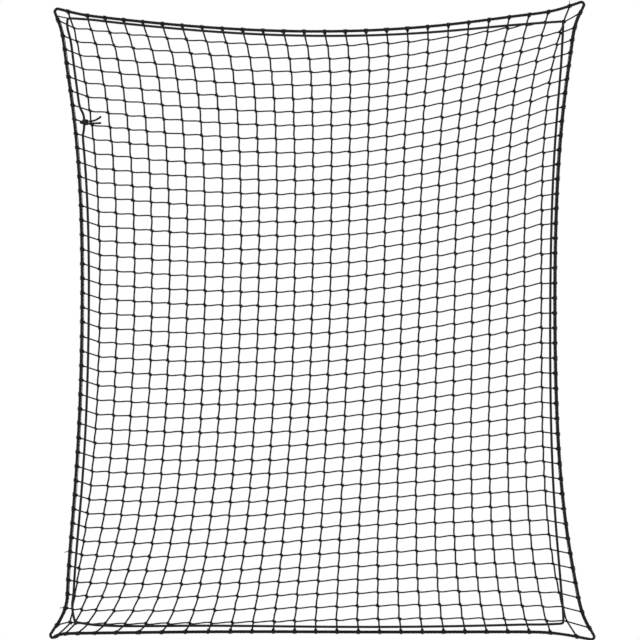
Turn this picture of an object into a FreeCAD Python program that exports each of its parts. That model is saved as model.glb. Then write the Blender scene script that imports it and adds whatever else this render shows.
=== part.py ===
import FreeCAD, Part
import math
import os

# A knotted rope net: upright and level twines tied at every crossing, lashed to a border rope
# that forms the four corners, with a draw cord threaded through the outermost meshes.
# X runs across the net, Z up it, and its front faces -Y. The origin is the middle of the net.
# All sizes are in millimetres. Twines are numbered from the left and from the top.

V = FreeCAD.Vector

# ---- Netting ----
columns = 27                # meshes across
rows = 44                   # meshes from top to bottom
mesh_width = 44.8           # between upright twines at half height
mesh_height = 34.9          # between level twines at mid width
twine = 4.0                 # diameter of the mesh twine
fit = 0.3                   # clearance between cords that lie against each other

# ---- How the netting hangs, measured at the outermost knots ----
centre_drop = 32.0          # the middle knot hangs below the origin
row_sag = 32.0              # level twines sag below their ends
head_sag = 35.0             # more sag at the top, as much less at the bottom
right_rise = 18.0           # level twines climb to the right
corner_twist = 16.0         # top right and bottom left corners are drawn out
end_crowding = 16.0         # rows are closer at the top and bottom
side_bow = 26.0             # the sides bow in at half height
corner_flare = 55.0         # and flare out sharply at the top and bottom
side_crowding = 9.0         # columns are closer at the sides
side_shear = 13.5           # both sides lean in towards the top right
foot_spread = 7.5           # the bottom is wider than the top
foot_swing = 38.0           # the bottom swings to the left
left_shift = 4.0            # the whole net hangs left of the origin

# ---- Corners ----
top_left_ease = V(23, 0, -6)        # how far a corner knot gives way to its pull
top_left_reach = V(3.5, 0, 3.5)     # meshes across and down over which that fades
top_right_ease = V(-4, 0, -24)
top_right_reach = V(1.5, 0, 3.5)
heel_ease = 55.0                    # the bottom left knot is held in
heel_reach = V(1.2, 0, 3.0)
head_drag = 16.0                    # the top edge is dragged to the left, at mid width most
head_drag_reach = 1.5               # rows over which that fades
foot_drag = 42.0                    # and so is the bottom edge
foot_drag_middle = 3.5              # at this twine most
foot_drag_reach = V(4.0, 0, 1.5)
top_left_tip = V(-45, 0, 45)        # from each corner knot to the corner of the border rope
top_right_tip = V(48, 0, 46)
bottom_right_tip = V(66, 0, -42)
bottom_left_tip = V(-48, 0, -36)

# ---- Edge meshes, from the outermost knots to the border rope ----
left_bay = 45.0
right_bay = 34.5            # at half height
head_bay = 36.0
foot_bay = 28.0
right_bow = 30.0            # the right bay is wider at the top and bottom
head_fall = 13.0            # the top bay narrows to the right
foot_wave = 6.3             # the bottom bay is narrower on the left and wider on the right
left_lift = 15.0            # the left ends of the level twines rise to the border
right_lift = 14.0           # the right ends rise at the top and fall at the bottom
edge_splay = 12.0           # the ends of the upright twines lean out
top_left_pinch = 17.0       # a side's bay narrows towards a corner
top_left_pinch_reach = 2.0  # rows over which that fades
bottom_left_pinch = 36.0    # its twines also level out there
bottom_left_pinch_reach = 6.0
top_right_pinch = 36.0
top_right_pinch_reach = 3.2
bottom_right_pinch = 22.0
bottom_right_pinch_reach = 2.6

# ---- Border rope and lashing ----
border_rope = 8.0           # diameter
corner_bend = 4.5           # half the width of the rope's bend at a corner
lashing = 1.4               # thickness of the lashing turns
lashing_length = 10.0       # along the rope at each twine

# ---- Draw cord, its knot and its two tails ----
draw_cord = 5.0             # diameter
cord_fit = 0.8              # clearance over the twines it crosses
cord_bend = 12.0            # how much of it each side of a point its arc takes
cord_inset_left = 18.0      # from the border rope's axis
cord_inset_right = 10.0
cord_inset_head = 10.0
cord_inset_foot = 10.0
cut_top_left = 5.0          # further in at the upper end of the left side
cut_top_right = V(23, 0, 27)        # and towards the other corners: along the top or bottom
cut_bottom_right = V(15, 0, 46)     # edge, and up the side
cut_bottom_left = V(36, 0, -3)
cut_reach = V(4.5, 0, 4.5)          # twines over which that fades
cut_foot_reach = 7.0                # up the right side
turn_top_left = V(-14, 0, 24)       # where it turns, from the corner knot
turn_top_right = V(-2, 0, 0)
turn_bottom_right = V(-9, 0, -5)
turn_bottom_left = V(12, 0, 1)
knot_near = 9.0             # closer to a knot than this it clears the whole knot
cord_knot_row = 8           # tied at this level twine, on the left
cord_knot_inset = 27.0
cord_knot_width = 23.0
cord_knot_radius = 8.0
cord_knot_end_radius = 5.6
tail_rise = V(31, -1, 12)   # upper tail, from the knot to its tip
tail_level = V(31, -2, 1)   # lower tail
tail_bends = 0.3, 0.7       # a tail's two bends, as shares of its run across

# ---- Knots of the netting ----
wrap_width = 3.2            # the turns that bind a crossing
wrap_thickness = 1.0
knot_grip = 3.5             # a twine bends within this distance of its knot

layer = (twine + fit) / 2   # uprights lie this far in front of the middle, level twines behind
arc_share = 0.45            # of the shorter run, taken up by the arc at each bend of a cord
least_turn = math.radians(0.1)      # a route that turns less than this at a point is straight
left, right, top, bottom = "left", "right", "top", "bottom"
uprights = range(1, columns)
levels = range(1, rows)


def fade(distance):
    return math.exp(-distance)


def place_across(j):
    """How far row j is up the net: 1 at the first level twine, -1 at the last."""
    return (rows / 2 - j) / (rows / 2 - 1)


def place_along(i):
    """How far column i is across the net: -1 at the first upright twine, 1 at the last."""
    return (i - columns / 2) / (columns / 2 - 1)


def dragged(i, j):
    """How far column i is drawn sideways at row j by the top and bottom edges."""
    head = head_drag * (1 - place_along(i) ** 2) * fade(j / head_drag_reach)
    across = ((i - foot_drag_middle) / foot_drag_reach.x) ** 2
    foot = foot_drag * fade(across + (rows - j) / foot_drag_reach.z)
    return -head - foot


def knot(i, j):
    """The crossing of upright twine i and level twine j, in the plane of the net."""
    u, w = place_along(i), place_across(j)
    half_width = mesh_width * (columns / 2 - 1)
    half_height = mesh_height * (rows / 2 - 1)
    flare = side_bow * w**2 + corner_flare * w**4 - foot_spread * w - side_crowding * u**2
    x = u * (half_width + flare) - side_shear * u**2 * w
    x -= left_shift + foot_swing * (w**2 - w) / 2
    z = w * half_height - end_crowding * w**3 - centre_drop
    z += u**2 * (row_sag + head_sag * w) + right_rise * u * (1 - w**2 / 2)
    z += corner_twist * w * (u**3 - u / 2)
    here = V(x, 0, z)
    l, r = top_left_reach, top_right_reach
    here += top_left_ease * fade(math.hypot((i - 1) / l.x, (j - 1) / l.z))
    here += top_right_ease * fade(math.hypot((columns - 1 - i) / r.x, (j - 1) / r.z))
    held_in = heel_ease * fade((i - 1) / heel_reach.x + (rows - 1 - j) / heel_reach.z)
    return here + V(held_in + dragged(i, j), 0, 0)


def edge_place(side, n):
    """Where twine n of the netting meets the border rope, before the rope is drawn smooth."""
    u, w = place_along(n), place_across(n)
    above, below = n - 1, rows - 1 - n
    if side == left:
        level_out = fade(below / bottom_left_pinch_reach)
        bay = left_bay - top_left_pinch * fade(above / top_left_pinch_reach)
        bay -= bottom_left_pinch * level_out
        return knot(1, n) + V(-bay, 0, left_lift * (1 - level_out))
    if side == right:
        bay = right_bay + right_bow * w**2
        bay -= top_right_pinch * fade(above / top_right_pinch_reach)
        bay -= bottom_right_pinch * fade(below / bottom_right_pinch_reach)
        return knot(columns - 1, n) + V(bay, 0, right_lift * w)
    if side == top:
        drag = dragged(n, 0) - dragged(n, 1)
        bay = head_bay - head_fall * ((1 + u) / 2) ** 4
        return knot(n, 1) + V(edge_splay * u + drag, 0, bay)
    drag = dragged(n, rows) - dragged(n, rows - 1)
    bay = foot_bay + foot_wave * math.sin(math.pi * u)
    return knot(n, rows - 1) + V(edge_splay * u + drag, 0, -bay)


tips = {
    (top, left): knot(1, 1) + top_left_tip,
    (top, right): knot(columns - 1, 1) + top_right_tip,
    (bottom, right): knot(columns - 1, rows - 1) + bottom_right_tip,
    (bottom, left): knot(1, rows - 1) + bottom_left_tip,
}


def side_places(side, start, end):
    """The border's meeting points along one side, from the corner tip start to the tip end."""
    numbers = levels if side in (left, right) else uprights
    places = {n: edge_place(side, n) for n in numbers}
    first, last = numbers[0], numbers[-1]
    places[first] = (places[first + 1] + start) / 2
    places[last] = (places[last - 1] + end) / 2
    return places


tl, tr = tips[top, left], tips[top, right]
br, bl = tips[bottom, right], tips[bottom, left]
clockwise = ((top, tr), (right, br), (bottom, bl), (left, tl))     # and the corner after each
sides = {
    top: side_places(top, tl, tr),
    right: side_places(right, tr, br),
    bottom: side_places(bottom, bl, br),
    left: side_places(left, tl, bl),
}


def corner_points(before, tip, after):
    """The two points of the border rope's bend round a corner."""
    into, out = (tip - before).normalize(), (after - tip).normalize()
    across = (into + out).normalize()
    return [tip - across * corner_bend, tip + across * corner_bend]


def clockwise_run(side):
    places = list(sides[side].values())
    return places if side in (top, right) else places[::-1]


def corner_bends():
    """The bend points of each corner, clockwise from the top right."""
    runs = [clockwise_run(side) for side, tip in clockwise]
    after = runs[1:] + runs[:1]
    return [corner_points(a[-1], tip, b[0]) for a, (side, tip), b in zip(runs, clockwise, after)]


def border_route():
    """The border rope's control points, clockwise from the top left corner."""
    route = []
    for (side, tip), bend in zip(clockwise, corner_bends()):
        run = clockwise_run(side)
        route += [(a + b) / 2 for a, b in zip(run, run[1:])] + bend
    return route


def side_ends():
    """The corner bend points that each side's run starts and ends at."""
    bent = corner_bends()
    ends = {}
    for n, (side, tip) in enumerate(clockwise):
        pair = bent[n - 1][1], bent[n][0]
        ends[side] = pair if side in (top, right) else pair[::-1]
    return ends


def seat(side, n):
    """The middle of the rope's straight run at twine n of a side, and the rope's direction."""
    places = sides[side]
    start, end = run_ends[side]
    before = (places[n - 1] + places[n]) / 2 if n - 1 in places else start
    after = (places[n] + places[n + 1]) / 2 if n + 1 in places else end
    return (before + after) / 2, (after - before).normalize()


run_ends = side_ends()


def bends(points):
    """The points of a route without those where it hardly turns."""
    kept = [points[0]]
    for here, after in zip(points[1:], points[2:]):
        if (here - kept[-1]).getAngle(after - here) > least_turn:
            kept.append(here)
    return kept + [points[-1]]


def path(points, reach=None, closed=False):
    """Straight runs between points, joined by tangent arcs."""
    if closed:
        first = (points[-1] + points[0]) / 2
        points = [first] + points + [first]
    points = bends(points)
    edges, last = [], points[0]
    for a, b, c in zip(points, points[1:], points[2:]):
        back, on = a - b, c - b
        cut = arc_share * min(back.Length, on.Length)
        cut = min(cut, reach) if reach else cut
        back.normalize()
        on.normalize()
        half = back.getAngle(on) / 2
        radius = cut * math.tan(half)
        inward = (back + on).normalize()
        middle = b + inward * (cut / math.cos(half) - radius)
        start, end = b + back * cut, b + on * cut
        edges.append(Part.LineSegment(last, start).toShape())
        edges.append(Part.Arc(start, middle, end).toShape())
        last = end
    edges.append(Part.LineSegment(last, points[-1]).toShape())
    return Part.Wire(edges)


def tube(wire, diameter):
    """A round cord along a path."""
    edge = wire.Edges[0]
    start = edge.valueAt(edge.FirstParameter)
    section = Part.Circle(start, edge.tangentAt(edge.FirstParameter), diameter / 2)
    return wire.makePipeShell([Part.Wire(section.toShape())], True, False, 0)


def rope_clear(side, n, towards):
    """Where a twine that comes from towards stops, just short of the lashing on the rope."""
    middle, along = seat(side, n)
    way = (towards - middle).normalize()
    slope = abs(way.dot(along))
    square = math.sqrt(1 - slope**2)
    outside = border_rope / 2 + fit + lashing + fit
    return middle + way * ((outside + twine / 2 * slope) / square)


def upright_points(i):
    inner = [knot(i, j) for j in levels]
    ends = rope_clear(top, i, inner[0]), rope_clear(bottom, i, inner[-1])
    return [ends[0]] + inner + [ends[1]]


def level_points(j):
    inner = [knot(i, j) for i in uprights]
    ends = rope_clear(left, j, inner[0]), rope_clear(right, j, inner[-1])
    return [ends[0]] + inner + [ends[1]]


def shifted(points, y):
    return [p + V(0, y, 0) for p in points]


def twine_at(side, n):
    """The end of twine n at one side of the net, and its outermost knot."""
    route = (level_route if side in (left, right) else upright_route)[n]
    return route[:2] if side in (left, top) else route[:-3:-1]


def knot_wrap(i, j):
    """The turns round one crossing: a band along the slope from upper left to lower right."""
    here = knot(i, j)
    upright, level = upright_route[i], level_route[j]
    rays = [upright[j - 1] - here, here - upright[j + 1], level[i + 1] - here, here - level[i - 1]]
    for ray in rays:
        ray.normalize()
    axis = (rays[0] + rays[1] + rays[2] + rays[3]).normalize()
    lean = max(axis.getAngle(ray) for ray in rays)
    half = wrap_width / 2 * math.tan(lean) + (twine / 2 + fit) / math.cos(lean)
    deep = layer + twine / 2 + fit
    across = axis.cross(V(0, 1, 0))
    out, up = half + wrap_thickness, deep + wrap_thickness
    start = here - axis * (wrap_width / 2)

    def corner(a, b):
        return start + across * a + V(0, b, 0)

    chamfer = wrap_thickness
    signs = ((1, 1), (-1, 1), (-1, -1), (1, -1))
    outer = []
    for n, (a, b) in enumerate(signs):
        bevel = [corner(a * out, b * (up - chamfer)), corner(a * (out - chamfer), b * up)]
        outer += bevel[::-1] if n % 2 else bevel
    inner = [corner(a * half, b * deep) for a, b in signs]
    rim, hole = Part.makePolygon(outer + outer[:1]), Part.makePolygon(inner + inner[:1])
    return Part.Face([rim, hole.reversed()]).extrude(axis * wrap_width)


def lashing_turns(side, n):
    """The turns of lashing that tie one twine to the border rope."""
    middle, along = seat(side, n)
    half = lashing_length / 2
    arrival = (twine_at(side, n)[0] - middle).dot(along)
    start = middle + along * (max(-half, min(arrival, half)) - half)
    outer = Part.makeCylinder(border_rope / 2 + fit + lashing, lashing_length, start, along)
    return outer.cut(Part.makeCylinder(border_rope / 2 + fit, lashing_length, start, along))


def cord_inset(side, n):
    """How far the draw cord lies inside the border rope at twine n of a side."""
    before, across = fade((n - 1) / cut_reach.x), fade((columns - 1 - n) / cut_reach.x)
    above, below = fade((n - 1) / cut_reach.z), fade((rows - 1 - n) / cut_reach.z)
    if side == top:
        return cord_inset_head + cut_top_right.x * across
    if side == bottom:
        return cord_inset_foot + cut_bottom_right.x * across + cut_bottom_left.x * before
    if side == left:
        return cord_inset_left + cut_top_left * above + cut_bottom_left.z * below
    foot = cut_bottom_right.z * fade((rows - 1 - n) / cut_foot_reach)
    return cord_inset_right + cut_top_right.z * above + foot


def cord_crossing(side, n, in_front=None):
    """Where the draw cord passes one twine of a side, in front and behind by turns."""
    middle, outermost = seat(side, n)[0], twine_at(side, n)[1]
    here = middle + (outermost - middle).normalize() * cord_inset(side, n)
    upstand = side in (left, right)
    if in_front is None:
        in_front = (n % 2 == 1) == upstand
    if (V(here.x, 0, here.z) - V(outermost.x, 0, outermost.z)).Length < knot_near:
        return here + V(0, -over_knot if in_front else over_knot, 0)
    twine_y = layer if upstand else -layer
    stand = ((twine + draw_cord) / 2 + cord_fit) / bend_loss
    return here + V(0, twine_y - stand if in_front else twine_y + stand, 0)


def draw_cord_points():
    """Clockwise from the knot; near the corners it stays in front of the twines."""
    last_upright, last_level = columns - 1, rows - 1
    front = V(0, -over_knot, 0)
    route = [cord_crossing(left, n) for n in range(cord_knot_row - 1, 0, -1)]
    route.append(knot(1, 1) + turn_top_left + front)
    route += [cord_crossing(top, n) for n in uprights[1:-2]]
    route.append(cord_crossing(top, last_upright - 1, True))
    route.append(knot(last_upright, 1) + turn_top_right + front)
    route.append(cord_crossing(right, 2, True))
    route += [cord_crossing(right, n) for n in levels[2:-2]]
    route.append(cord_crossing(right, last_level - 1, True))
    route.append(knot(last_upright, last_level) + turn_bottom_right + front)
    route += [cord_crossing(bottom, n) for n in uprights[-2:2:-1]]
    route.append(cord_crossing(bottom, 3, True))
    route.append(knot(1, last_level) + turn_bottom_left + front)
    route.append(cord_crossing(left, last_level - 1, True))
    route += [cord_crossing(left, n) for n in range(last_level - 2, cord_knot_row, -1)]
    upper = cord_knot_middle + V(0, 0, cord_knot_radius)
    lower = cord_knot_middle - V(0, 0, cord_knot_radius)
    lead = V(0, 0, knot_lead)
    return [upper, upper + lead] + route + [lower - lead, lower]


upright_route = {i: upright_points(i) for i in uprights}
level_route = {j: level_points(j) for j in levels}

knot_lead = 2 * draw_cord
bend_loss = 1 - cord_bend / mesh_height     # an arc passes inside its point by the rest
wrap_front = layer + twine / 2 + fit + wrap_thickness
over_knot = (wrap_front + draw_cord / 2 + cord_fit) / bend_loss
knot_seat, knot_along = seat(left, cord_knot_row)
knot_way = (knot(1, cord_knot_row) - knot_seat).normalize()
cord_knot_middle = knot_seat + knot_way * cord_knot_inset
cord_knot_middle += V(0, -(wrap_front + fit + cord_knot_radius), 0)
cord_knot_end = cord_knot_middle + V(cord_knot_width / 2, 0, 0)


def draw_cord_knot():
    """A barrel with its axis across the net, narrowed to a flat at both ends."""
    w, r, e = cord_knot_width / 2, cord_knot_radius, cord_knot_end_radius
    shoulder = w - (r - e)
    outline = [V(-w, 0, 0), V(-w, 0, e), V(-shoulder, 0, r), V(shoulder, 0, r), V(w, 0, e), V(w, 0, 0)]
    face = Part.Face(Part.makePolygon(outline + outline[:1]))
    solid = face.revolve(V(0, 0, 0), V(1, 0, 0), 360)
    solid.translate(cord_knot_middle)
    return solid


def tail(rise, side):
    """One cut end of the draw cord, from the knot's right-hand end."""
    start = cord_knot_end + V(0, 0, side * (draw_cord + fit) / 2)
    near, far = tail_bends
    first = start + V(rise.x * near, 0, 0)
    second = start + V(rise.x * far, rise.y / 2, rise.z * (far - near))
    return [start, first, second, start + rise]


def write(node, solids):
    shape = solids[0] if len(solids) == 1 else Part.makeCompound(solids)
    shape.exportStep(f"parts/{node}.step")


def main():
    os.makedirs("parts", exist_ok=True)
    for i in uprights:
        solid = tube(path(shifted(upright_route[i], -layer), knot_grip), twine)
        write(f"upright_twine_{i:02d}", [solid])
    for j in range(1, rows, 2):
        pair = [n for n in (j, j + 1) if n < rows]
        solids = [tube(path(shifted(level_route[n], layer), knot_grip), twine) for n in pair]
        write("level_twines_" + "_".join(f"{n:02d}" for n in pair), solids)
    third = math.ceil((rows - 1) / 3)
    for name, start in (("upper", 1), ("middle", 1 + third), ("lower", 1 + 2 * third)):
        rows_here = range(start, min(start + third, rows))
        write(f"mesh_knots_{name}", [knot_wrap(i, j) for j in rows_here for i in uprights])
    write("border_rope", [tube(path(border_route(), closed=True), border_rope)])
    for side in sides:
        write(f"border_lashing_{side}", [lashing_turns(side, n) for n in sides[side]])
    write("draw_cord_knot", [draw_cord_knot()])
    cords = {
        "draw_cord": draw_cord_points(),
        "draw_cord_tail_upper": tail(tail_rise, 1),
        "draw_cord_tail_lower": tail(tail_level, -1),
    }
    for node, points in cords.items():
        route = path(points, cord_bend)
        radii = sorted(e.Curve.Radius for e in route.Edges if hasattr(e.Curve, "Radius"))
        print(node, f"length {route.Length:.1f}, smallest radii", [round(r, 1) for r in radii[:4]])
        write(node, [tube(route, draw_cord)])


main()
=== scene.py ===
import math

import bpy
import numpy as np
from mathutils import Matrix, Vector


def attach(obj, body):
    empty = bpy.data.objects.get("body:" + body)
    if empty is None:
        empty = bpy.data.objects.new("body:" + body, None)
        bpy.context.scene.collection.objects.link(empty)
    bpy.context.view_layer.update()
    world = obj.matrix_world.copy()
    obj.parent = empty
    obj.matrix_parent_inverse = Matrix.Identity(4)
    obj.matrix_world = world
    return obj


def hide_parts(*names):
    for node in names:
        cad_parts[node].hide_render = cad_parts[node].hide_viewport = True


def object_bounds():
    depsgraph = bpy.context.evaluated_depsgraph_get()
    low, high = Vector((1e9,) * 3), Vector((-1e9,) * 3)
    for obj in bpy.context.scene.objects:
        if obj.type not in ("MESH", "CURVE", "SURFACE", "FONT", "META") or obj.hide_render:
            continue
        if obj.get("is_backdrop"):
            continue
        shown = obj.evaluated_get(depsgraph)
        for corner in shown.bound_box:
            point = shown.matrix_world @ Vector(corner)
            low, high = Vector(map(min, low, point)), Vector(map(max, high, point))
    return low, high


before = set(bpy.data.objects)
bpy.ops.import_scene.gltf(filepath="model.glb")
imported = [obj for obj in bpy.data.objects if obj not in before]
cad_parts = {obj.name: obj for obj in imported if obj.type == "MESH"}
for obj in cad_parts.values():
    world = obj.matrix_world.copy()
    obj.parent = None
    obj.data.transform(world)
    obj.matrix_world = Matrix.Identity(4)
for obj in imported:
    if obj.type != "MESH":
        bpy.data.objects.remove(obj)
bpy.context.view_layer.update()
scene = bpy.context.scene
scene.view_settings.view_transform = "Standard"
mm = 0.001
chance = np.random.default_rng(27)   # every uneven knot and strand draws from this one


# camera: square on to the front of the net
cameraView = {"width": 1.5955, "x": -0.0050, "z": 0.0006, "distance": 4.0}

lens = bpy.data.cameras.new("frontCamera")
lens.type = "ORTHO"
lens.ortho_scale = cameraView["width"]
camera = bpy.data.objects.new("frontCamera", lens)
camera.location = (cameraView["x"], -cameraView["distance"], cameraView["z"])
camera.rotation_euler = (math.pi / 2, 0, 0)
scene.collection.objects.link(camera)
scene.camera = camera
print("camera ready")


class Sock:
    # wraps a socket so that shader maths reads as plain expressions
    def __init__(self, shop, socket):
        self.shop, self.socket = shop, socket

    def maths(self, operation, *others):
        return self.shop.maths(operation, self, *others)

    def __add__(self, other): return self.maths("ADD", other)
    def __radd__(self, other): return self.maths("ADD", other)
    def __sub__(self, other): return self.maths("SUBTRACT", other)
    def __rsub__(self, other): return self.shop.maths("SUBTRACT", other, self)
    def __mul__(self, other): return self.maths("MULTIPLY", other)
    def __rmul__(self, other): return self.maths("MULTIPLY", other)
    def __truediv__(self, other): return self.maths("DIVIDE", other)
    def __pow__(self, other): return self.maths("POWER", other)
    def sine(self): return self.maths("SINE")
    def size(self): return self.maths("ABSOLUTE")
    def least(self, other): return self.maths("MINIMUM", other)
    def most(self, other): return self.maths("MAXIMUM", other)


class Shop:
    # the node tree of a material or of the world, and the nodes made for it
    def __init__(self, owner):
        owner.use_nodes = True
        self.owner, self.tree = owner, owner.node_tree
        self.tree.nodes.clear()

    def put(self, value, socket):
        if isinstance(value, Sock):
            self.tree.links.new(value.socket, socket)
        elif value is not None:
            socket.default_value = value

    # any node: its settings first, then its sockets by name or in order
    def node(self, kind, settings=None, values=(), out=0):
        made = self.tree.nodes.new(kind)
        for key, value in (settings or {}).items():
            setattr(made, key, value)
        pairs = values.items() if isinstance(values, dict) else enumerate(values)
        for key, value in pairs:
            self.put(value, made.inputs[key])
        return Sock(self, made.outputs[out])

    def maths(self, operation, *terms):
        return self.node("ShaderNodeMath", {"operation": operation}, terms)

    def mixColour(self, share, one, two):
        # a colour mix keeps its colours at sockets 6 and 7, and gives its result at output 2
        ends = {0: share, 6: one, 7: two}
        return self.node("ShaderNodeMix", {"data_type": "RGBA"}, ends, out=2)

    def finish(self, shader, kind="ShaderNodeOutputMaterial"):
        target = self.tree.nodes.new(kind)
        self.tree.links.new(shader.socket, target.inputs["Surface"])
        return self.owner


def alongAndRound(shop):
    # the lay map: metres along the cord, and the share of a turn round it
    lay = shop.node("ShaderNodeUVMap", {"uv_map": "lay"})
    along = shop.node("ShaderNodeSeparateXYZ", None, (lay,), out=0)
    return along, Sock(shop, along.socket.node.outputs[1])


def cordMaterial(name, look):
    shop = Shop(bpy.data.materials.new(name))
    along, turn = alongAndRound(shop)
    place = shop.node("ShaderNodeNewGeometry")
    reach = (along * look["fibreAlong"], turn * look["fibreRound"], 0.0)
    stretched = shop.node("ShaderNodeCombineXYZ", None, reach)
    fibres = shop.node("ShaderNodeTexNoise", None, {
        "Vector": stretched, "Scale": 1.0, "Detail": look["fibreDetail"]})
    wear = shop.node("ShaderNodeTexNoise", None, {
        "Vector": place, "Scale": look["wearScale"], "Detail": look["wearDetail"],
        "Roughness": look["wearRoughness"]})
    way = along * (2 * math.pi / look["braidPitch"])
    if look["carriers"]:
        # two sets of strands cross over and under each other
        spin = turn * (2 * math.pi * look["carriers"])
        right, left = (way + spin).sine(), (way - spin).sine()
        weave = right.most(left) * 0.5 + 0.5
        valley = right.size().least(left.size())
    else:
        # plies are in the mesh, and this sets the yarns inside each ply
        spin = turn * (2 * math.pi * look["yarns"])
        weave = (way + spin).sine() * 0.5 + 0.5
        valley = weave
    height = weave * look["weaveHeight"] + fibres * look["fibreHeight"]
    dust = ((wear - look["dustFrom"]) * look["dustRise"]).most(0.0).least(1.0) * look["dust"]
    # painted shade: the colour is darker in the valleys between yarns and strands, and lighter on their
    # crests
    shade = shop.mixColour(valley ** look["valleyCurve"], look["deep"], look["crest"])
    colour = shop.mixColour(dust, shade, look["dusty"])
    roughness = fibres * look["fibreDull"] + look["roughness"] + dust * look["dustDull"]
    bump = shop.node("ShaderNodeBump", None, {
        "Strength": look["bump"], "Distance": look["relief"], "Height": height})
    body = shop.node("ShaderNodeBsdfPrincipled", None, {
        "Base Color": colour, "Roughness": roughness, "Normal": bump, "Sheen Weight": look["sheen"],
        "Sheen Roughness": look["sheenRoughness"], "Specular IOR Level": look["gloss"]})
    return shop.finish(body)


# the darker of each twine's two colours is painted shade for the valleys between its yarns
meshTwineLook = {
    "carriers": 0, "yarns": 9, "braidPitch": 0.0060, "fibreAlong": 260.0, "fibreRound": 42.0,
    "fibreDetail": 3.0, "fibreDull": 0.16, "fibreHeight": 0.5, "weaveHeight": 0.6, "valleyCurve": 0.6,
    "wearScale": 34.0, "wearDetail": 4.0, "wearRoughness": 0.6, "relief": 0.00022, "bump": 0.7,
    "dust": 0.35, "dustFrom": 0.48, "dustRise": 3.0, "dustDull": 0.3, "dusty": (0.026, 0.026, 0.027, 1),
    "deep": (0.0035, 0.0037, 0.0042, 1), "crest": (0.0105, 0.0108, 0.0118, 1),
    "roughness": 0.62, "sheen": 0.05, "sheenRoughness": 0.45, "gloss": 0.25}
borderRopeLook = dict(meshTwineLook, yarns=12, braidPitch=0.010, fibreAlong=180.0, fibreRound=60.0,
                      relief=0.0004, dust=0.3, roughness=0.64)
lashingLook = dict(meshTwineLook, yarns=5, braidPitch=0.004, relief=0.00016, dust=0.25)
drawCordLook = dict(meshTwineLook, carriers=8, braidPitch=0.0085, fibreAlong=320.0, fibreRound=60.0,
                    relief=0.0004, bump=0.8, dust=0.2, roughness=0.55, crest=(0.0125, 0.0128, 0.014, 1))
meshTwineMaterial = cordMaterial("meshTwine", meshTwineLook)
borderRopeMaterial = cordMaterial("borderRope", borderRopeLook)
lashingMaterial = cordMaterial("lashingTwine", lashingLook)
drawCordMaterial = cordMaterial("drawCord", drawCordLook)
print("materials ready")


# the net's resting shape, with all lengths in millimetres
netting = {
    "columns": 27, "rows": 44, "meshWidth": 44.8, "meshHeight": 34.9,
    "centreDrop": 32.0, "rowSag": 32.0, "headSag": 35.0, "rightRise": 18.0, "cornerTwist": 16.0,
    "endCrowding": 16.0, "sideBow": 26.0, "cornerFlare": 55.0, "sideCrowding": 9.0, "sideShear": 13.5,
    "footSpread": 7.5, "footSwing": 38.0, "leftShift": 4.0,
    "topLeftEase": (23.0, -6.0), "topLeftReach": (3.5, 3.5),
    "topRightEase": (-4.0, -24.0), "topRightReach": (1.5, 3.5),
    "heelEase": 55.0, "heelReach": (1.2, 3.0), "headDrag": 16.0, "headDragReach": 1.5,
    "footDrag": 42.0, "footDragMiddle": 3.5, "footDragReach": (4.0, 1.5)}
corners = {
    "topLeft": (-45.0, 45.0), "topRight": (48.0, 46.0),
    "bottomRight": (66.0, -42.0), "bottomLeft": (-48.0, -36.0)}
cornerBend, cornerWeight = 4.5, 2.0
bays = {
    "left": 45.0, "right": 34.5, "head": 36.0, "foot": 28.0, "rightBow": 30.0, "headFall": 13.0,
    "footWave": 6.3, "leftLift": 15.0, "rightLift": 14.0, "splay": 12.0,
    "topLeftPinch": (17.0, 2.0), "bottomLeftPinch": (36.0, 6.0),
    "topRightPinch": (36.0, 3.2), "bottomRightPinch": (22.0, 2.6)}
columns, rows = netting["columns"], netting["rows"]
uprights, levels = range(1, columns), range(1, rows)


def fade(distance):
    return math.exp(-distance)


def placeAcross(j):
    return (rows / 2 - j) / (rows / 2 - 1)


def placeAlong(i):
    return (i - columns / 2) / (columns / 2 - 1)


def dragged(i, j):
    n = netting
    head = n["headDrag"] * (1 - placeAlong(i) ** 2) * fade(j / n["headDragReach"])
    across = ((i - n["footDragMiddle"]) / n["footDragReach"][0]) ** 2
    return -head - n["footDrag"] * fade(across + (rows - j) / n["footDragReach"][1])


def knot(i, j):
    n, u, w = netting, placeAlong(i), placeAcross(j)
    halfWidth = n["meshWidth"] * (columns / 2 - 1)
    halfHeight = n["meshHeight"] * (rows / 2 - 1)
    flare = n["sideBow"] * w**2 + n["cornerFlare"] * w**4 - n["footSpread"] * w - n["sideCrowding"] * u**2
    x = u * (halfWidth + flare) - n["sideShear"] * u**2 * w - n["leftShift"]
    x -= n["footSwing"] * (w**2 - w) / 2
    z = w * halfHeight - n["endCrowding"] * w**3 - n["centreDrop"]
    z += u**2 * (n["rowSag"] + n["headSag"] * w)
    z += n["rightRise"] * u * (1 - w**2 / 2) + n["cornerTwist"] * w * (u**3 - u / 2)
    l, r = n["topLeftReach"], n["topRightReach"]
    pullLeft = fade(math.hypot((i - 1) / l[0], (j - 1) / l[1]))
    pullRight = fade(math.hypot((columns - 1 - i) / r[0], (j - 1) / r[1]))
    x += n["topLeftEase"][0] * pullLeft + n["topRightEase"][0] * pullRight
    z += n["topLeftEase"][1] * pullLeft + n["topRightEase"][1] * pullRight
    heel = (i - 1) / n["heelReach"][0] + (rows - 1 - j) / n["heelReach"][1]
    x += n["heelEase"] * fade(heel) + dragged(i, j)
    return np.array([x, 0.0, z])


def flat(x, z):
    return np.array([x, 0.0, z])


def pinch(name, twines):
    width, reach = bays[name]
    return width * fade(twines / reach)


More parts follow.
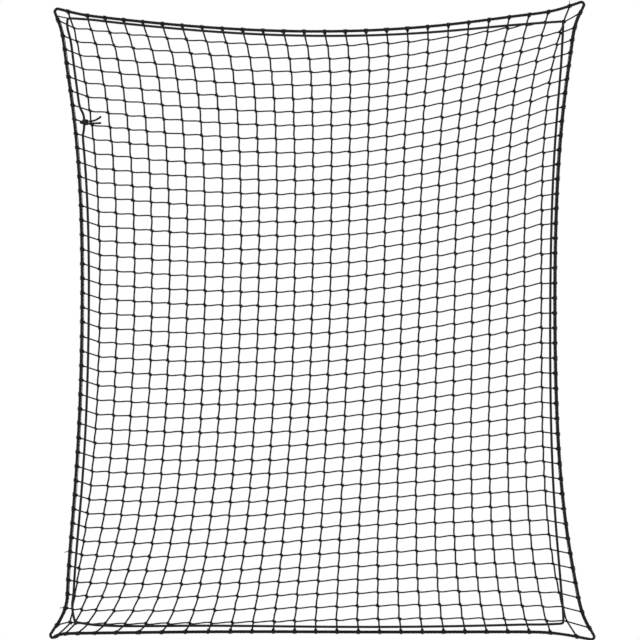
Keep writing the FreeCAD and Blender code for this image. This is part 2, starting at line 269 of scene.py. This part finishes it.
def edgePlace(side, n):
    u, w = placeAlong(n), placeAcross(n)
    above, below = n - 1, rows - 1 - n
    if side == "left":
        levelOut = pinch("bottomLeftPinch", below) / bays["bottomLeftPinch"][0]
        bay = bays["left"] - pinch("topLeftPinch", above) - pinch("bottomLeftPinch", below)
        return knot(1, n) + flat(-bay, bays["leftLift"] * (1 - levelOut))
    if side == "right":
        bay = bays["right"] + bays["rightBow"] * w**2
        bay = bay - pinch("topRightPinch", above) - pinch("bottomRightPinch", below)
        return knot(columns - 1, n) + flat(bay, bays["rightLift"] * w)
    if side == "top":
        bay = bays["head"] - bays["headFall"] * ((1 + u) / 2) ** 4
        return knot(n, 1) + flat(bays["splay"] * u + dragged(n, 0) - dragged(n, 1), bay)
    bay = bays["foot"] + bays["footWave"] * math.sin(math.pi * u)
    return knot(n, rows - 1) + flat(bays["splay"] * u + dragged(n, rows) - dragged(n, rows - 1), -bay)


tips = {
    "topLeft": knot(1, 1) + flat(*corners["topLeft"]),
    "topRight": knot(columns - 1, 1) + flat(*corners["topRight"]),
    "bottomRight": knot(columns - 1, rows - 1) + flat(*corners["bottomRight"]),
    "bottomLeft": knot(1, rows - 1) + flat(*corners["bottomLeft"])}
sideEnds = {
    "left": ("topLeft", "bottomLeft"), "right": ("topRight", "bottomRight"),
    "top": ("topLeft", "topRight"), "bottom": ("bottomLeft", "bottomRight")}


def sidePlaces(side):
    numbers = levels if side in ("left", "right") else uprights
    start, end = (tips[name] for name in sideEnds[side])
    places = {n: edgePlace(side, n) for n in numbers}
    first, last = numbers[0], numbers[-1]
    places[first] = (places[first + 1] + start) / 2
    places[last] = (places[last - 1] + end) / 2
    return places


sides = {side: sidePlaces(side) for side in sideEnds}


def unit(v):
    return v / np.linalg.norm(v)


# each side and the corner after it, the same way round as the hands of a clock
clockwise = (("top", "topRight"), ("right", "bottomRight"), ("bottom", "bottomLeft"), ("left", "topLeft"))


def clockwiseRun(side):
    places = list(sides[side].values())
    return places if side in ("top", "right") else places[::-1]


def firm(place, weight):
    # a weight above one draws a rope's line closer to that key
    return np.append(place, weight)


def cornerBends():
    made = []
    for n, (side, name) in enumerate(clockwise):
        tip, before = tips[name], clockwiseRun(side)[-1]
        after = clockwiseRun(clockwise[(n + 1) % len(clockwise)][0])[0]
        across = unit(unit(tip - before) + unit(after - tip))
        made.append([tip - across * cornerBend, tip + across * cornerBend])
    return made


def borderRoute():
    # the rope runs straight up to each tight bend and straight away from it
    route, bent, lead = [], cornerBends(), 2 * cornerBend
    for n, (side, _) in enumerate(clockwise):
        run = clockwiseRun(side)
        middles = [(a + b) / 2 for a, b in zip(run, run[1:])]
        start, end = bent[n - 1][1], bent[n][0]
        away = start + unit(middles[0] - start) * lead
        towards = end + unit(middles[-1] - end) * lead
        route += [firm(start, cornerWeight), away, *middles, towards, firm(end, cornerWeight)]
    return route


def runEnds():
    bent, ends = cornerBends(), {}
    for n, (side, _) in enumerate(clockwise):
        pair = (bent[n - 1][1], bent[n][0])
        ends[side] = pair if side in ("top", "right") else pair[::-1]
    return ends


ends = runEnds()


def seat(side, n):
    # the middle of the border rope's run at one twine, and the rope's direction
    places = sides[side]
    before = (places[n - 1] + places[n]) / 2 if n - 1 in places else ends[side][0]
    after = (places[n] + places[n + 1]) / 2 if n + 1 in places else ends[side][1]
    return (before + after) / 2, unit(after - before)


def outermost(side, n):
    # the last knot of twine n before that side
    place = {"left": (1, n), "right": (columns - 1, n), "top": (n, 1), "bottom": (n, rows - 1)}[side]
    return knot(*place)


# ropes and twines are tubes in a mesh, and only the draw cord's tails are curves
def distanceAlong(line):
    return np.concatenate([[0], np.cumsum(np.linalg.norm(np.diff(line, axis=0), axis=1))])


def evenly(line, step):
    reach = distanceAlong(line)
    count = max(2, int(round(reach[-1] / step)) + 1)
    marks = np.linspace(0, reach[-1], count)
    return np.stack([np.interp(marks, reach, line[:, k]) for k in range(3)], axis=1), marks


ropeFineness = 8


def ropeLine(keys, step, closed=False):
    # the line of a rope, read back from a NURBS curve with the keys as its control points
    # a key's fourth number, where it has one, is its weight
    data = bpy.data.curves.new("ropeLine", "CURVE")
    data.dimensions = "3D"
    spline = data.splines.new("NURBS")
    spline.points.add(len(keys) - 1)
    for point, place in zip(spline.points, keys):
        point.co = place if len(place) == 4 else (*place, 1)
    spline.order_u = 3
    spline.use_cyclic_u, spline.use_endpoint_u = closed, not closed
    spline.resolution_u = ropeFineness
    holder = bpy.data.objects.new("ropeLine", data)
    mesh = bpy.data.meshes.new_from_object(holder)
    line = np.empty(len(mesh.vertices) * 3)
    mesh.vertices.foreach_get("co", line)
    bpy.data.meshes.remove(mesh)
    bpy.data.objects.remove(holder)
    bpy.data.curves.remove(data)
    line = line.reshape(-1, 3)
    return evenly(np.vstack([line, line[:1]]) if closed else line, step)


rightwards, backwards = np.eye(3)[:2]
nearlyAlong = 0.2


def crossAxes(line, closed):
    # two directions square to the line, carried along it without spin
    ahead = np.gradient(line, axis=0)
    if closed:
        ahead[0] = ahead[-1] = line[1] - line[-2]
    ahead /= np.linalg.norm(ahead, axis=1)[:, None]
    normal = np.empty_like(line)
    start = np.cross(ahead[0], backwards)
    if np.linalg.norm(start) < nearlyAlong:
        start = np.cross(ahead[0], rightwards)
    normal[0] = unit(start)
    for k in range(1, len(line)):
        n = normal[k - 1] - ahead[k] * normal[k - 1].dot(ahead[k])
        normal[k] = n / math.sqrt(n.dot(n))
    return normal, np.cross(ahead, normal)


class Skein:
    # gathers tubes into one mesh
    def __init__(self):
        self.points, self.faces, self.maps, self.count = [], [], [], 0

    def tube(self, line, marks, profile, spin, closed=False):
        # profile gives the radius at each side of the section, and spin the turns per metre
        sides = len(profile)
        one, two = crossAxes(line, closed)
        turn = 2 * math.pi * (np.arange(sides)[None, :] / sides + spin * marks[:, None] * mm)
        out = np.cos(turn)[..., None] * one[:, None, :] + np.sin(turn)[..., None] * two[:, None, :]
        rim = line[:, None, :] + np.asarray(profile)[:, None] * out
        if closed:
            rim = rim[:-1]
        at = self.count + np.arange(len(rim) * sides).reshape(len(rim), sides)
        if closed:
            # the last ring is the first one again
            at = np.vstack([at, at[:1]])
        across = np.roll(at, -1, axis=1)
        quads = np.stack([at[:-1], across[:-1], across[1:], at[1:]], axis=-1).reshape(-1, 4)
        u0 = np.repeat(marks[:-1] * mm, sides)
        u1 = np.repeat(marks[1:] * mm, sides)
        v0 = np.tile(np.arange(sides) / sides, len(marks) - 1)
        v1 = v0 + 1 / sides
        lay = np.stack([np.stack(pair, -1) for pair in ((u0, v0), (u0, v1), (u1, v1), (u1, v0))], axis=1)
        self.faces.append(quads)
        self.maps.append(lay.reshape(-1, 2))
        if not closed:
            for lid, mark in ((at[0][::-1], marks[0]), (at[-1], marks[-1])):
                self.faces.append(lid[None, :])
                self.maps.append(np.tile([[mark * mm, 0.5]], (sides, 1)))
        self.points.append(rim.reshape(-1, 3))
        self.count += len(rim) * sides

    def build(self, name, material):
        mesh = bpy.data.meshes.new(name)
        points = np.concatenate(self.points) * mm
        cornersOf = np.concatenate([f.ravel() for f in self.faces]).astype(np.int32)
        sizes = np.concatenate([np.full(len(f), f.shape[1]) for f in self.faces])
        starts = np.concatenate([[0], np.cumsum(sizes)[:-1]]).astype(np.int32)
        mesh.vertices.add(len(points))
        mesh.vertices.foreach_set("co", points.astype(np.float32).ravel())
        mesh.loops.add(len(cornersOf))
        mesh.loops.foreach_set("vertex_index", cornersOf)
        mesh.polygons.add(len(sizes))
        mesh.polygons.foreach_set("loop_start", starts)
        mesh.update(calc_edges=True)
        mesh.polygons.foreach_set("use_smooth", np.ones(len(sizes), bool))
        lay = mesh.uv_layers.new(name="lay")
        lay.data.foreach_set("uv", np.concatenate(self.maps).astype(np.float32).ravel())
        mesh.materials.append(material)
        made = bpy.data.objects.new(name, mesh)
        scene.collection.objects.link(made)
        return made


def plied(radius, plies, perPly, valley):
    # a rope's section: each ply is a lobe, with a valley beside it
    one = [radius * valley] + [radius] * (perPly - 1)
    return one * plies


def uneven(least, more):
    return least + more * chance.random()


def settle(piece, slotName, *replaced):
    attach(piece, "root")
    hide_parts(*replaced)


# draw cord: its two cut ends come first, because they hang free
drawCord = {
    "diameter": 5.0, "look": 6.2, "fit": 0.8, "bend": 12.0, "sides": 14, "step": 2.2,
    "insetLeft": 18.0, "insetRight": 10.0, "insetHead": 10.0, "insetFoot": 10.0,
    "cutTopLeft": 5.0, "cutTopRight": (23, 27), "cutBottomRight": (15, 46), "cutBottomLeft": (36, -3),
    "cutReach": (4.5, 4.5), "cutFootReach": 7.0, "turnTopLeft": (-14, 24), "turnTopRight": (-2, 0),
    "turnBottomRight": (-9, -5), "turnBottomLeft": (12, 1), "turnWeight": 4.0, "knotNear": 9.0,
    "knotRow": 8, "knotInset": 27.0, "knotWidth": 23.0, "knotRadius": 8.0, "knotHold": 0.6,
    "tailUpper": (31.0, -1.0, 12.0), "tailLower": (31.0, -2.0, 1.0), "tailBends": (0.3, 0.7),
    "tailFineness": 12, "roundness": 5, "meltedEnd": 1.12}
twineSize = {"diameter": 4.0, "fit": 0.3, "wrap": 1.0}
layer = (twineSize["diameter"] + twineSize["fit"]) / 2
wrapFront = layer + twineSize["diameter"] / 2 + twineSize["fit"] + twineSize["wrap"]
bendLoss = 1 - drawCord["bend"] / netting["meshHeight"]
overKnot = (wrapFront + drawCord["diameter"] / 2 + drawCord["fit"]) / bendLoss
knotSeat, _ = seat("left", drawCord["knotRow"])
knotWay = unit(knot(1, drawCord["knotRow"]) - knotSeat)
cordKnotMiddle = knotSeat + knotWay * drawCord["knotInset"]
cordKnotMiddle[1] -= wrapFront + twineSize["fit"] + drawCord["knotRadius"]


def tailPoints(rise, side):
    apart = drawCord["diameter"] + twineSize["fit"]
    start = cordKnotMiddle + flat(drawCord["knotWidth"] / 2, side * apart / 2)
    near, far = drawCord["tailBends"]
    first = start + flat(rise[0] * near, 0)
    second = start + np.array([rise[0] * far, rise[1] / 2, rise[2] * (far - near)])
    return [start, first, second, start + np.array(rise)]


for name, rise, side in (("Upper", drawCord["tailUpper"], 1), ("Lower", drawCord["tailLower"], -1)):
    route = np.array(tailPoints(rise, side)) * mm
    data = bpy.data.curves.new("drawCordTail" + name, "CURVE")
    data.dimensions = "3D"
    data.bevel_depth = drawCord["diameter"] / 2 * mm
    data.bevel_resolution = drawCord["roundness"]
    data.use_fill_caps = True
    spline = data.splines.new("NURBS")
    spline.points.add(len(route) - 1)
    for point, place in zip(spline.points, route):
        point.co = (*place, 1)
    spline.points[-1].radius = drawCord["meltedEnd"]
    spline.order_u = 3
    spline.use_endpoint_u = True
    spline.resolution_u = drawCord["tailFineness"]
    data.materials.append(drawCordMaterial)
    tailPiece = bpy.data.objects.new("drawCordTail" + name, data)
    scene.collection.objects.link(tailPiece)
    settle(tailPiece, "draw_cord", "draw_cord_tail_" + name.lower())
print("cord tails ready")


def cordInset(side, n):
    d, lastUpright, lastLevel = drawCord, columns - 1, rows - 1
    reachAcross, reachDown = d["cutReach"]
    before, across = fade((n - 1) / reachAcross), fade((lastUpright - n) / reachAcross)
    above, below = fade((n - 1) / reachDown), fade((lastLevel - n) / reachDown)
    atFoot = fade((lastLevel - n) / d["cutFootReach"])
    if side == "top":
        return d["insetHead"] + d["cutTopRight"][0] * across
    if side == "bottom":
        return d["insetFoot"] + d["cutBottomRight"][0] * across + d["cutBottomLeft"][0] * before
    if side == "left":
        return d["insetLeft"] + d["cutTopLeft"] * above + d["cutBottomLeft"][1] * below
    return d["insetRight"] + d["cutTopRight"][1] * above + d["cutBottomRight"][1] * atFoot


def cordCrossing(side, n, inFront=None):
    middle, inner = seat(side, n)[0], outermost(side, n)
    here = middle + unit(inner - middle) * cordInset(side, n)
    onSide = side in ("left", "right")
    if inFront is None:
        inFront = (n % 2 == 1) == onSide
    if np.linalg.norm(here - inner) < drawCord["knotNear"]:
        return here + np.array([0, -overKnot if inFront else overKnot, 0])
    twineY = layer if onSide else -layer
    stand = ((twineSize["diameter"] + drawCord["diameter"]) / 2 + drawCord["fit"]) / bendLoss
    return here + np.array([0, twineY - stand if inFront else twineY + stand, 0])


def cordTurn(i, j, name):
    x, z = drawCord[name]
    return firm(knot(i, j) + np.array([x, -overKnot, z]), drawCord["turnWeight"])


def drawCordRoute():
    lastUpright, lastLevel, tied = columns - 1, rows - 1, drawCord["knotRow"]
    route = [cordCrossing("left", n) for n in range(tied - 1, 0, -1)]
    route.append(cordTurn(1, 1, "turnTopLeft"))
    route += [cordCrossing("top", n) for n in uprights[1:-2]]
    route += [cordCrossing("top", lastUpright - 1, True), cordTurn(lastUpright, 1, "turnTopRight")]
    route.append(cordCrossing("right", 2, True))
    route += [cordCrossing("right", n) for n in levels[2:-2]]
    route.append(cordCrossing("right", lastLevel - 1, True))
    route.append(cordTurn(lastUpright, lastLevel, "turnBottomRight"))
    route += [cordCrossing("bottom", n) for n in uprights[-2:2:-1]]
    route += [cordCrossing("bottom", 3, True), cordTurn(1, lastLevel, "turnBottomLeft")]
    route.append(cordCrossing("left", lastLevel - 1, True))
    route += [cordCrossing("left", n) for n in range(lastLevel - 2, tied, -1)]
    up = flat(0, drawCord["knotRadius"])
    lead = flat(0, 2 * drawCord["diameter"])
    upper, lower = cordKnotMiddle + up * drawCord["knotHold"], cordKnotMiddle - up * drawCord["knotHold"]
    return [upper, cordKnotMiddle + up + lead] + route + [cordKnotMiddle - up - lead, lower]


skein = Skein()
line, marks = ropeLine(drawCordRoute(), drawCord["step"])
skein.tube(line, marks, [drawCord["look"] / 2] * drawCord["sides"], 0.0)
settle(skein.build("drawCord", drawCordMaterial), "draw_cord", "draw_cord")


trefoil = {"middle": 0.47, "long": 5.06, "short": 5.2}


def tightKnot(longWay, shortWay, depth, rings):
    # an overhand knot drawn tight: a closed line that passes over and under itself three times
    t = np.linspace(0, 2 * math.pi, rings + 1)
    across = np.sin(t) + 2 * np.sin(2 * t)
    along = np.cos(t) - 2 * np.cos(2 * t) + trefoil["middle"]
    along, across = along * longWay / trefoil["long"], across * shortWay / trefoil["short"]
    return np.stack([along, np.sin(3 * t) * depth / 2, across], axis=1)


cordKnot = {
    "long": 18.0, "short": 10.0, "depth": 8.0, "rings": 90, "drawnIn": 0.49,
    "turns": 1.6, "turnSteps": 60, "turnStart": 0.6, "turnWidth": 8.0, "turnAside": 1.0,
    "turnDeep": 5.4, "turnHigh": 5.8, "step": 1.2}
skein = Skein()
section = [drawCord["diameter"] * cordKnot["drawnIn"]] * drawCord["sides"]
line = tightKnot(cordKnot["long"], cordKnot["short"], cordKnot["depth"], cordKnot["rings"])
skein.tube(line + cordKnotMiddle, distanceAlong(line), section, 0.0, closed=True)
# the turns that close the knot round both ends
t = np.linspace(0, 1, cordKnot["turnSteps"])
spin = 2 * math.pi * cordKnot["turns"] * t + cordKnot["turnStart"]
sideways = (t - 0.5) * cordKnot["turnWidth"] + cordKnot["turnAside"]
wrap = np.stack([sideways, np.cos(spin) * cordKnot["turnDeep"], np.sin(spin) * cordKnot["turnHigh"]], axis=1)
line, marks = evenly(wrap + cordKnotMiddle, cordKnot["step"])
skein.tube(line, marks, section, 0.0)
settle(skein.build("drawCordKnot", drawCordMaterial), "draw_cord", "draw_cord_knot")
print("draw cord ready")


metre = 1000   # in millimetres, for turns per metre
meshTwine = {
    "upright": 2.42, "level": 2.02, "plies": 3, "perPly": 3, "valley": 0.74, "layLength": 15.0,
    "layStart": 40, "step": 1.9, "apart": 0.75, "stopShort": 3.4, "knotHalf": 4.0, "jog": 1.0,
    "jogShare": (0.8, 0.4), "wander": 0.5, "stray": 0.3, "leave": (3.0, 1.1), "leaveShare": (0.8, 0.45),
    "swing": 0.9, "swingShare": (0.7, 0.6), "swingPart": 0.55, "swingAt": (0.24, 0.76)}


def endOf(side, n, inner):
    # a twine stops just short of the middle of the border rope
    place = seat(side, n)[0]
    return place + unit(inner - place) * meshTwine["stopShort"]


def uprightKeys(i):
    inner = [knot(i, j) for j in levels]
    keys, half = [], meshTwine["knotHalf"]
    for n, here in enumerate(inner):
        down = unit(inner[min(n + 1, len(inner) - 1)] - inner[max(n - 1, 0)])
        over = np.array([-down[2], 0, down[0]])   # towards the right
        jog = meshTwine["jog"] * uneven(*meshTwine["jogShare"])
        keys += [here - down * half - over * jog, here + down * half + over * jog]
        if n + 1 < len(inner):
            middle = (here + inner[n + 1]) / 2 + over * chance.normal(0, meshTwine["wander"])
            keys.append(middle + backwards * chance.normal(0, meshTwine["stray"]))
    return [endOf("top", i, inner[0])] + keys + [endOf("bottom", i, inner[-1])]


def levelKeys(j):
    inner = [knot(i, j) for i in uprights]
    out, drop = meshTwine["leave"]
    early, late = meshTwine["swingAt"]
    keys = [endOf("left", j, inner[0])]
    for n, here in enumerate(inner):
        low = drop * uneven(*meshTwine["leaveShare"])
        high = drop * uneven(*meshTwine["leaveShare"])
        keys += [here + flat(-out, high), here + flat(out, -low)]
        if n + 1 < len(inner):
            there = inner[n + 1]
            wave = meshTwine["swing"] * uneven(*meshTwine["swingShare"])
            off = drop + wave * meshTwine["swingPart"]
            near = here + (there - here) * early - flat(0, off)
            far = here + (there - here) * late + flat(0, off)
            for place in (near, far):
                keys.append(place + flat(0, chance.normal(0, meshTwine["stray"])))
    return keys + [endOf("right", j, inner[-1])]


def addTwine(skein, keys, radius, y):
    line, marks = ropeLine(keys, meshTwine["step"])
    line[:, 1] += y
    section = plied(radius, meshTwine["plies"], meshTwine["perPly"], meshTwine["valley"])
    start = chance.random() * meshTwine["layStart"]
    skein.tube(line, marks + start, section, metre / meshTwine["layLength"])


for i in uprights:
    skein = Skein()
    addTwine(skein, uprightKeys(i), meshTwine["upright"], -layer * meshTwine["apart"])
    settle(skein.build(f"uprightTwine{i:02d}", meshTwineMaterial), "mesh_twine", f"upright_twine_{i:02d}")
for j in range(1, rows, 2):
    pair = [n for n in (j, j + 1) if n < rows]
    skein = Skein()
    for n in pair:
        addTwine(skein, levelKeys(n), meshTwine["level"], layer * meshTwine["apart"])
    label = "_".join(f"{n:02d}" for n in pair)
    settle(skein.build("levelTwines" + label, meshTwineMaterial), "mesh_twine", "level_twines_" + label)
print("mesh twine ready")


# a small tight knot at every crossing
nettingKnot = {
    "long": 8.2, "short": 4.9, "depth": 5.4, "strand": 1.6, "sides": 6, "rings": 30, "size": (0.88, 0.26),
    "lean": 44.0, "spread": 9.0}
template = tightKnot(1.0, 1.0, 1.0, nettingKnot["rings"])
third = math.ceil((rows - 1) / 3)
for name, start in (("Upper", 1), ("Middle", 1 + third), ("Lower", 1 + 2 * third)):
    skein = Skein()
    for j in range(start, min(start + third, rows)):
        for i in uprights:
            grow = uneven(*nettingKnot["size"])
            shape = template * np.array([nettingKnot[way] for way in ("long", "depth", "short")]) * grow
            if chance.random() < 0.5:
                shape = shape * np.array([-1, 1, -1])
            lean = math.radians(nettingKnot["lean"] + chance.normal(0, nettingKnot["spread"]))
            c, s = math.cos(lean), math.sin(lean)
            x, y, z = shape.T
            turned = np.stack([x * c + z * s, y, -x * s + z * c], axis=1)
            section = [nettingKnot["strand"] * grow] * nettingKnot["sides"]
            skein.tube(turned + knot(i, j), distanceAlong(turned), section, 0.0, closed=True)
    settle(skein.build("nettingKnots" + name, meshTwineMaterial), "mesh_twine", "mesh_knots_" + name.lower())
print("netting knots ready")


borderRope = {"diameter": 7.6, "plies": 3, "perPly": 4, "valley": 0.82, "layLength": 28.0, "step": 2.4}
lashing = {
    "strand": 0.9, "sides": 6, "turns": 3.6, "turnsShare": (0.85, 0.35), "perTurn": 12, "startTurn": 6,
    "pitch": 2.2, "pitchShare": (0.85, 0.4), "knot": (5.6, 3.1, 3.8), "knotShare": (0.85, 0.35),
    "knotStrand": 1.15, "knotOut": 0.9, "knotRings": 28, "runner": 1.0, "runnerHalf": 6, "runnerStep": 2.6,
    "runnerSide": {"left": 1.0, "right": 0.95, "top": 0.5, "bottom": 0.7}, "runnerFront": 0.8,
    "runnerLay": 10.0, "slack": 0.6, "taut": 0.25, "plies": 3, "perPly": 2, "valley": 0.75,
    "cutEnds": {"top": (26,), "left": (38, 42)}, "cutEnd": (9.0, 4.0), "cutEndRoot": 0.8, "cutEndBend": 0.2,
    "cutEndStep": 1.5, "tieStart": 12.0, "tieSag": 1.0, "tieStep": 2.0}

skein = Skein()
line, marks = ropeLine(borderRoute(), borderRope["step"], closed=True)
turns = round(marks[-1] / borderRope["layLength"])
section = plied(borderRope["diameter"] / 2, borderRope["plies"], borderRope["perPly"], borderRope["valley"])
skein.tube(line, marks, section, metre * turns / marks[-1], closed=True)
settle(skein.build("borderRope", borderRopeMaterial), "border_rope", "border_rope")


def lashingLay(radius):
    return plied(radius, lashing["plies"], lashing["perPly"], lashing["valley"])


reachOut = borderRope["diameter"] / 2 + lashing["strand"]
strand = [lashing["strand"]] * lashing["sides"]
hitchStrand = [lashing["knotStrand"]] * lashing["sides"]
forwards = -backwards * reachOut * lashing["runnerFront"]
for side, places in sides.items():
    skein = Skein()
    runner = []
    for n in places:
        middle, along = seat(side, n)
        way = unit(outermost(side, n) - middle)
        lift = np.cross(along, backwards)   # square to the rope, into the net
        if lift.dot(way) < 0:
            lift = -lift
        # turns round the rope
        turnsHere = lashing["turns"] * uneven(*lashing["turnsShare"])
        t = np.linspace(0, 1, int(turnsHere * lashing["perTurn"]))[:, None]
        spin = 2 * math.pi * turnsHere * t + chance.random() * lashing["startTurn"]
        spread = (t - 0.5) * turnsHere * lashing["pitch"] * uneven(*lashing["pitchShare"])
        coil = middle + spread * along + reachOut * (np.cos(spin) * lift + np.sin(spin) * backwards)
        skein.tube(coil, distanceAlong(coil), strand, 0.0)
        # the hitch where the twine comes in
        size = np.array(lashing["knot"]) * uneven(*lashing["knotShare"])
        hitch = tightKnot(1.0, 1.0, 1.0, lashing["knotRings"]) * size
        heading = along if chance.random() < 0.5 else -along
        hitch = hitch[:, :1] * heading + hitch[:, 1:2] * backwards + hitch[:, 2:] * lift
        hitchPlace = middle + way * (reachOut + lashing["knotOut"])
        skein.tube(hitch + hitchPlace, distanceAlong(hitch), hitchStrand, 0.0, closed=True)
        inside = lift * reachOut * lashing["runnerSide"][side]
        half = along * lashing["runnerHalf"]
        runner += [middle - half + inside, middle + half + inside]
        if n in lashing["cutEnds"].get(side, ()):
            # a cut end of lashing that stands off the rope
            out, lean = lashing["cutEnd"]
            root = middle - lift * reachOut * lashing["cutEndRoot"]
            bend = root - lift * out / 2 + along * lean * lashing["cutEndBend"]
            cutEnd = [root, bend, root - lift * out + along * lean]
            skein.tube(*ropeLine(cutEnd, lashing["cutEndStep"]), strand, 0.0)
    # the running line slackens between its hitches
    keys = []
    for n, here in enumerate(runner):
        keys.append(here + forwards)
        if n % 2 == 1 and n + 1 < len(runner):
            there = runner[n + 1]
            inward = np.cross(there - here, backwards)
            inward = unit(inward) * (1 if inward.dot(-here) > 0 else -1)
            sway = inward * lashing["slack"] * (chance.random() - lashing["taut"])
            keys.append((here + there) / 2 + sway + forwards)
    line, marks = ropeLine(keys, lashing["runnerStep"])
    skein.tube(line, marks, lashingLay(lashing["runner"]), metre / lashing["runnerLay"])
    if side == "left":
        # a single twine ties the draw cord's upper left turn to the border
        middle, along = seat(side, 1)
        start, end = middle - along * lashing["tieStart"], cordTurn(1, 1, "turnTopLeft")[:3]
        tie = [start, (start + end) / 2 - flat(0, lashing["tieSag"]), end]
        line, marks = ropeLine(tie, lashing["tieStep"])
        skein.tube(line, marks, lashingLay(meshTwine["level"]), metre / meshTwine["layLength"])
    label = "borderLashing" + side.capitalize()
    settle(skein.build(label, lashingMaterial), "lashing_twine", "border_lashing_" + side)
print("border ready")


# a pale floor that catches the net's shadow
surround = {
    "floorDrop": 0.012, "floorReach": 9.0, "fadeFrom": 1.6, "fadeTo": 3.4, "grain": 3.0, "grainDetail": 3.0,
    "roughness": 0.8, "darker": (0.84, 0.84, 0.84, 1), "paler": (0.88, 0.88, 0.875, 1), "ambient": 0.85}
white = (1, 1, 1, 1)
low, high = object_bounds()
floorPlace = (0, 0, low.z - surround["floorDrop"])
bpy.ops.mesh.primitive_plane_add(size=2 * surround["floorReach"], location=floorPlace)
floor = bpy.context.object
floor.name = "floor"
shop = Shop(bpy.data.materials.new("paleFloor"))
spot = shop.node("ShaderNodeNewGeometry")
farOff = shop.node("ShaderNodeVectorMath", {"operation": "LENGTH"}, (spot,), out=1)
# far from the net the floor fades into the surround, for the camera only
fadeWidth = surround["fadeTo"] - surround["fadeFrom"]
blendAway = ((farOff - surround["fadeFrom"]) / fadeWidth).most(0.0).least(1.0)
grain = shop.node("ShaderNodeTexNoise", None, {
    "Vector": spot, "Scale": surround["grain"], "Detail": surround["grainDetail"]})
pale = shop.mixColour(grain, surround["darker"], surround["paler"])
ground = shop.node("ShaderNodeBsdfPrincipled", None, {
    "Base Color": pale, "Roughness": surround["roughness"]})
glow = shop.node("ShaderNodeEmission", None, {"Color": white, "Strength": 1.0})
seen = shop.node("ShaderNodeLightPath")
blended = shop.node("ShaderNodeMixShader", None, (blendAway * seen, ground, glow))
floor.data.materials.append(shop.finish(blended))
floor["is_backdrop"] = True

scene.world = bpy.data.worlds.new("paleSurround")
shop = Shop(scene.world)
seen = shop.node("ShaderNodeLightPath")
through = Sock(shop, seen.socket.node.outputs["Is Transmission Ray"])
ambient = shop.node("ShaderNodeBackground", None, {"Color": white, "Strength": surround["ambient"]})
backdrop = shop.node("ShaderNodeBackground", None, {"Color": white, "Strength": 1.0})
blended = shop.node("ShaderNodeMixShader", None, (seen.most(through), ambient, backdrop))
shop.finish(blended, "ShaderNodeOutputWorld")

studio = (
    ("keyLight", (-1.6, -2.6, 2.2), 18.0, 1.6),
    ("fillLight", (2.2, -2.2, 0.6), 8.0, 1.8),
    ("backLight", (0.6, 2.6, 1.8), 8.0, 1.6))
for name, place, power, width in studio:
    data = bpy.data.lights.new(name, "AREA")
    data.energy, data.size = power, width
    lamp = bpy.data.objects.new(name, data)
    lamp.location = place
    lamp.rotation_euler = (-lamp.location).to_track_quat("-Z", "Y").to_euler()
    scene.collection.objects.link(lamp)
print("studio ready")

bpy.context.view_layer.update()
low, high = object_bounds()
